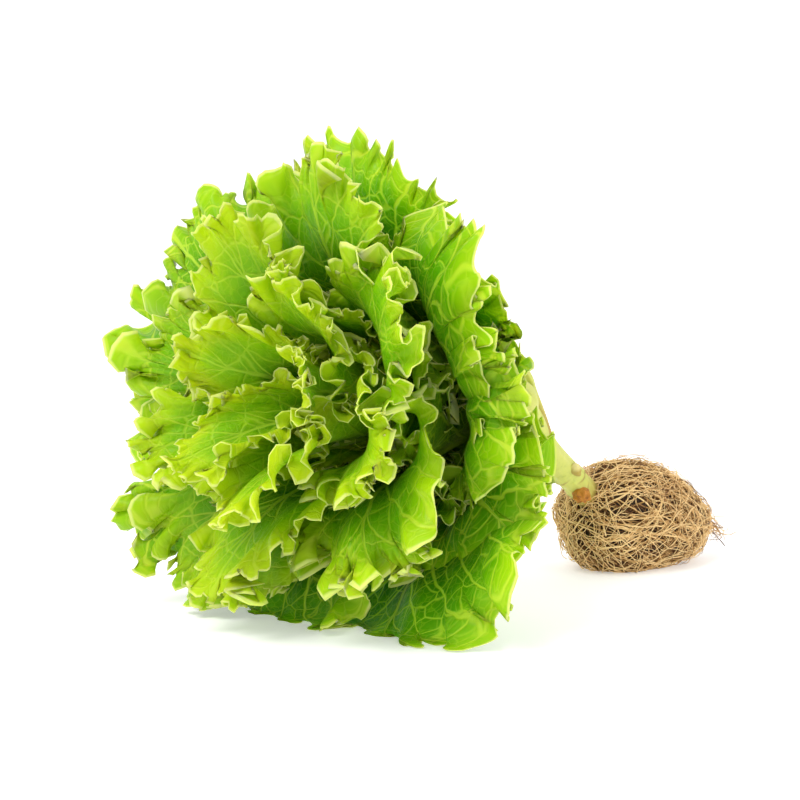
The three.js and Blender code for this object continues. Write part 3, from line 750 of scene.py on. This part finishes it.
# ---- root fibres ------------------------------------------------------------------------------------
def fibre_tree():
    """Strands scattered over a surface and laid along it: they hug it, cross one another and wander."""
    tree = bpy.data.node_groups.new("root_fibres", "GeometryNodeTree")
    tree.interface.new_socket(name="Geometry", in_out="OUTPUT", socket_type="NodeSocketGeometry")
    for socket, kind in (("Surface", "Geometry"), ("Density", "Float"), ("Length", "Float"),
                         ("Radius", "Float"), ("Rise", "Float"), ("Wander", "Float"), ("Spread", "Float"),
                         ("Flow", "Vector"), ("Seed", "Int"), ("Material", "Material")):
        tree.interface.new_socket(name=socket, in_out="INPUT", socket_type="NodeSocket" + kind)

    def add(kind, values=None, **settings):
        node = tree.nodes.new(kind)
        for key, value in settings.items():
            setattr(node, key, value)
        for key, value in (values or {}).items():
            socket = node.inputs[key]
            if isinstance(value, bpy.types.NodeSocket):
                tree.links.new(value, socket)
            else:
                socket.default_value = value
        return node

    def vector(operation, first, second=None, scale=None):
        values = {0: first}
        if second is not None:
            values[1] = second
        if scale is not None:
            values["Scale"] = scale
        return add("ShaderNodeVectorMath", values, operation=operation).outputs[0]

    given = add("NodeGroupInput").outputs
    surface = given["Surface"]
    scattered = add("GeometryNodeDistributePointsOnFaces",
                    {"Mesh": surface, "Density": given["Density"], "Seed": given["Seed"]})
    shade = add("FunctionNodeRandomValue", {"Seed": given["Seed"]}, data_type="FLOAT").outputs["Value"]
    tinted = add("GeometryNodeStoreNamedAttribute",
                 {"Geometry": scattered.outputs["Points"], "Name": "tint", "Value": shade},
                 data_type="FLOAT", domain="POINT")
    spread = add("FunctionNodeRandomValue", {0: (-1, -1, -1), 1: (1, 1, 1), "Seed": 7},
                 data_type="FLOAT_VECTOR")
    heading = vector("ADD", given["Flow"], vector("SCALE", spread.outputs["Value"], scale=given["Spread"]))
    upright = add("FunctionNodeAlignRotationToVector", {"Vector": scattered.outputs["Normal"]}, axis="Z")
    laid = add("FunctionNodeAlignRotationToVector",
               {"Rotation": upright.outputs[0], "Vector": heading}, axis="X", pivot_axis="Z")
    half = add("ShaderNodeMath", {0: given["Length"], 1: 0.5}, operation="MULTIPLY").outputs[0]
    end = add("ShaderNodeCombineXYZ", {"X": half}).outputs[0]
    line = add("GeometryNodeCurvePrimitiveLine", {"Start": vector("SCALE", end, scale=-1.0), "End": end})
    line = add("GeometryNodeResampleCurve", {"Curve": line.outputs[0], "Count": 16})
    size = add("FunctionNodeRandomValue", {2: 0.45, 3: 1.2, "Seed": 11}, data_type="FLOAT")
    strands = add("GeometryNodeInstanceOnPoints",
                  {"Points": tinted.outputs[0], "Instance": line.outputs[0], "Rotation": laid.outputs[0],
                   "Scale": size.outputs["Value"]})
    strands = add("GeometryNodeRealizeInstances", {0: strands.outputs[0]})
    place = add("GeometryNodeInputPosition").outputs[0]
    nearest = add("GeometryNodeProximity", {0: surface}, target_element="FACES")
    facing = add("GeometryNodeInputNormal").outputs[0]
    outward = add("GeometryNodeSampleNearestSurface", {0: surface, 1: facing},
                  data_type="FLOAT_VECTOR").outputs[0]
    tint = add("GeometryNodeInputNamedAttribute", {"Name": "tint"}, data_type="FLOAT").outputs[0]
    lift = add("ShaderNodeMath", {0: tint, 1: given["Rise"]}, operation="MULTIPLY").outputs[0]
    own = add("ShaderNodeCombineXYZ", {"X": tint, "Y": tint}).outputs[0]
    swirl = add("ShaderNodeTexNoise", {"Vector": vector("ADD", place, own), "Scale": 55.0, "Detail": 2.0})
    swirl = vector("SUBTRACT", swirl.outputs["Color"], (0.5, 0.5, 0.5))
    laid_on = vector("ADD", nearest.outputs["Position"], vector("SCALE", outward, scale=lift))
    laid_on = vector("ADD", laid_on, vector("SCALE", swirl, scale=given["Wander"]))
    strands = add("GeometryNodeSetPosition", {0: strands.outputs[0], "Position": laid_on})
    section = add("GeometryNodeCurvePrimitiveCircle", {"Resolution": 4, "Radius": given["Radius"]})
    tubes = add("GeometryNodeCurveToMesh",
                {"Curve": strands.outputs[0], "Profile Curve": section.outputs[0], "Fill Caps": True})
    tubes = add("GeometryNodeSetShadeSmooth", {0: tubes.outputs[0]})
    tubes = add("GeometryNodeRealizeInstances", {0: tubes.outputs[0]})
    tubes = add("GeometryNodeSetMaterial", {0: tubes.outputs[0], "Material": given["Material"]})
    tree.links.new(tubes.outputs[0], add("NodeGroupOutput").inputs[0])
    return tree


FIBRE_TREE = fibre_tree()
LOWEST_FIBRE = 0.0002        # metres above the table


def fibres_on(core, name, **inputs):
    """The fibres that the tree grows over a core, as a plain mesh piece."""
    carrier = bpy.data.objects.new(name + "_carrier", core.data)
    bpy.context.scene.collection.objects.link(carrier)
    modifier = carrier.modifiers.new("fibres", "NODES")
    modifier.node_group = FIBRE_TREE
    for socket in FIBRE_TREE.interface.items_tree:
        if socket.in_out == "INPUT" and socket.name in inputs:
            modifier[socket.identifier] = inputs[socket.name]
    bpy.context.view_layer.update()
    grown = carrier.evaluated_get(bpy.context.evaluated_depsgraph_get())
    mesh = bpy.data.meshes.new_from_object(grown)
    carrier.modifiers.remove(modifier)
    bpy.data.objects.remove(carrier)
    mesh.name = name
    places = np.empty(len(mesh.vertices) * 3, np.float32)
    mesh.vertices.foreach_get("co", places)
    places[2::3] = np.maximum(places[2::3], LOWEST_FIBRE)
    mesh.vertices.foreach_set("co", places)
    mesh.update()
    piece = bpy.data.objects.new(name, mesh)
    bpy.context.scene.collection.objects.link(piece)
    return piece


def loose_strands(name, strands, radii, sides=5):
    """Thin tubes along the given paths, as one piece."""
    points, quads, caps, tints, count = [], [], [], [], 0
    rng = np.random.default_rng(77)
    for path, radius in zip(strands, radii):
        taper = radius * between(1.0, 0.35, np.linspace(0, 1, len(path)))[:, None]
        made, (quad, cap) = tube_mesh(path, taper, sides)
        made[:, 2] = np.maximum(made[:, 2], 0.15)
        points.append(made)
        quads.append(quad + count)
        caps.append(cap + count)
        tints.append(np.full(len(made), rng.uniform(0.2, 1)))
        count += len(made)
    return mesh_object(name, np.concatenate(points), [np.concatenate(quads), np.concatenate(caps)], None,
                       {"tint": np.concatenate(tints)})


def curl_over_ball(rng, share, a, length, lift):
    """A strand that starts on the ball, runs on along it and leaves it by lift at its end."""
    t = np.linspace(0, 1, 26)
    bend = rng.normal(0, 1.1)
    turned = a + rng.normal(0, 0.6) * t + bend * 0.5 * t ** 2
    run = np.clip(share + length * t / BALL_LENGTH * rng.uniform(0.3, 1), 0.01, 0.985)
    off = 0.4 + lift * np.sin(math.pi * t * rng.uniform(0.55, 1.0))
    off = off + 0.7 * np.sin(9 * t + rng.uniform(0, 6))
    return ball_point(run, turned, off)


def tail_strand(rng):
    """The path of one strand that leaves the ball's far end and droops to the table."""
    start = ball_point(np.array(0.9), np.array(rng.uniform(0, 2 * math.pi)), -2.0)
    tail = BALL_TOP + 0.94 * BALL_LENGTH * BALL_AXIS + 2 * BALL_UP
    middle = tail + np.array([13, -1, -2]) + rng.normal(0, 2.2, 3)
    end = tail + np.array([rng.uniform(18, 27), -2, -9]) + rng.normal(0, (2, 4, 3))
    tip = end + np.array([rng.uniform(-4, 3), rng.normal(0, 3), rng.uniform(-5, 4)])
    return smooth_path([start, middle, end, tip], 34)[0]


# the third colour of each leaf material is painted shade, darkest far in from the edge
LEAF_LOOKS = {
    "outer": leaf_material(
        "leaf_green_outer", (0.245, 0.47, 0.003), (0.09, 0.31, 0.001), (0.018, 0.14, 0.001), 0.7),
    "middle": leaf_material(
        "leaf_green_middle", (0.30, 0.52, 0.003), (0.12, 0.35, 0.001), (0.018, 0.14, 0.001), 0.55),
    "inner": leaf_material(
        "leaf_green_inner", (0.38, 0.58, 0.004), (0.15, 0.38, 0.001), (0.018, 0.14, 0.001), 0.5),
    "heart": leaf_material(
        "leaf_green_heart", (0.45, 0.62, 0.007), (0.20, 0.43, 0.002), (0.03, 0.17, 0.001), 0.45),
}
for leaf, piece in leaves.values():
    piece.data.materials.append(LEAF_LOOKS[leaf["layer"]])
    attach(piece, "root")
    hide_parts("leaf_" + leaf["name"])


def finish(piece, material, nodes):
    """Gives a piece its material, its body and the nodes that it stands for."""
    if material:
        piece.data.materials.clear()
        piece.data.materials.append(material)
    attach(piece, "root")
    if nodes:
        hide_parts(*nodes)


finish(stem_piece(), STEM_LOOK, ["stem"])
upper = stub_piece("stub_upper", 0.46, 15, 24, 34, 8, 0.45, 0.12)
lower = stub_piece("stub_lower", 0.17, -85, 24, 13, 3.6, 0.8, 0.05)
dried = stub_piece("stub_dried_end", 0.14, -140, 75, 6, 4.7, 0.75, 0.34)
finish(upper, STUB_LOOK, ["petiole_stub_upper"])
finish(lower, STUB_LOOK, ["petiole_stub_lower"])
finish(dried, DRIED_LOOK, ["petiole_stub_dried"])

core = root_core()
flow = tuple(BALL_AXIS)
thick = fibres_on(core, "root_fibres_thick", Density=24000.0, Length=0.074, Radius=0.00040, Rise=0.0026,
                  Wander=0.008, Spread=0.65, Flow=flow, Seed=3, Material=ROOT_LOOK)
fine = fibres_on(core, "root_fibres_fine", Density=70000.0, Length=0.040, Radius=0.00018, Rise=0.0034,
                 Wander=0.011, Spread=1.1, Flow=flow, Seed=5, Material=ROOT_LOOK)
rng = np.random.default_rng(41)
LOOSE_STRANDS = 150
TAIL_STRANDS = 34
curls = [curl_over_ball(rng, share=rng.uniform(0.02, 0.9), a=rng.uniform(-0.6, 3.7),
                        length=rng.uniform(20, 55), lift=rng.uniform(1, 6)) for _ in range(LOOSE_STRANDS)]
loose = loose_strands("root_loose_strands", curls, rng.uniform(0.14, 0.34, LOOSE_STRANDS))
wisps = [tail_strand(rng) for _ in range(TAIL_STRANDS)]
tail = loose_strands("root_tail_strands", wisps, rng.uniform(0.2, 0.5, TAIL_STRANDS))
finish(core, CORE_LOOK, ["root_ball"])
finish(thick, None, [])
finish(fine, None, [])
finish(loose, ROOT_LOOK, [])
finish(tail, ROOT_LOOK, ["root_tail"])

# ---- floor, light and camera ------------------------------------------------------------------------
VIEW_TURN = math.radians(-38)
VIEW_PITCH = math.radians(6)
CAMERA_HEIGHT = 212
CAMERA_DISTANCE = 1075
CAMERA_SIDESTEP = 56
ahead_dir = np.array([-math.sin(VIEW_TURN), math.cos(VIEW_TURN), 0])
right_dir = np.array([math.cos(VIEW_TURN), math.sin(VIEW_TURN), 0])
camera_data = bpy.data.cameras.new("camera")
camera_data.lens = 99
camera_data.sensor_width = 36
camera = bpy.data.objects.new("camera", camera_data)
bpy.context.scene.collection.objects.link(camera)
place = CROWN - CAMERA_SIDESTEP * right_dir - CAMERA_DISTANCE * ahead_dir
place[2] = CAMERA_HEIGHT
camera.location = Vector(place * MM)
camera.rotation_euler = (math.radians(90) - VIEW_PITCH, 0, VIEW_TURN)
bpy.context.scene.camera = camera
bpy.context.scene.view_settings.view_transform = "Standard"


FLOOR_REACH = 9000
WALL_HEIGHT = 4000
SWEEP_START = 2200
SWEEP_RADIUS = 900


def backdrop():
    """A pale sweep: floor that curves up into a wall far behind."""
    profile = [(-FLOOR_REACH, 0), (SWEEP_START, 0)]
    profile += [(SWEEP_START + SWEEP_RADIUS * math.sin(a), SWEEP_RADIUS - SWEEP_RADIUS * math.cos(a))
                for a in np.linspace(0.1, math.pi / 2, 12)]
    profile.append((SWEEP_START + SWEEP_RADIUS, WALL_HEIGHT))
    points = []
    for depth, height in profile:
        for sideways in (-FLOOR_REACH, FLOOR_REACH):
            points.append(ahead_dir * depth + right_dir * sideways + np.array([0, 0, height]))
    rows = np.arange(len(profile) - 1)[:, None] * 2
    faces = rows + np.array([0, 1, 3, 2])
    floor = mesh_object("floor", np.array(points), [faces])
    material, _, shader = new_material("floor_white")
    shader.inputs["Base Color"].default_value = (0.9, 0.9, 0.9, 1)
    shader.inputs["Roughness"].default_value = 0.7
    shader.inputs["Emission Color"].default_value = (1, 1, 1, 1)
    shader.inputs["Emission Strength"].default_value = 0.36
    floor.data.materials.append(material)


backdrop()


def area_light(name, place, aim, size, power):
    """A round soft light of so many watts, turned towards a point."""
    data = bpy.data.lights.new(name, "AREA")
    data.shape = "DISK"
    data.size = size
    data.energy = power
    light = bpy.data.objects.new(name, data)
    bpy.context.scene.collection.objects.link(light)
    light.location = place
    light.rotation_euler = (Vector(aim) - Vector(place)).to_track_quat("-Z", "Y").to_euler()


head = Vector(CROWN * MM)
side = Vector(right_dir)
away = Vector(ahead_dir)
area_light("key", head - side * 0.9 - away * 0.9 + Vector((0, 0, 1.5)), head, 1.2, 26)
area_light("fill", head + side * 1.3 - away * 0.8 + Vector((0, 0, 0.7)), head, 1.4, 8)
world = bpy.data.worlds.new("studio")
bpy.context.scene.world = world
world.use_nodes = True
world.node_tree.nodes["Background"].inputs["Color"].default_value = (1, 1, 1, 1)
world.node_tree.nodes["Background"].inputs["Strength"].default_value = 0.66
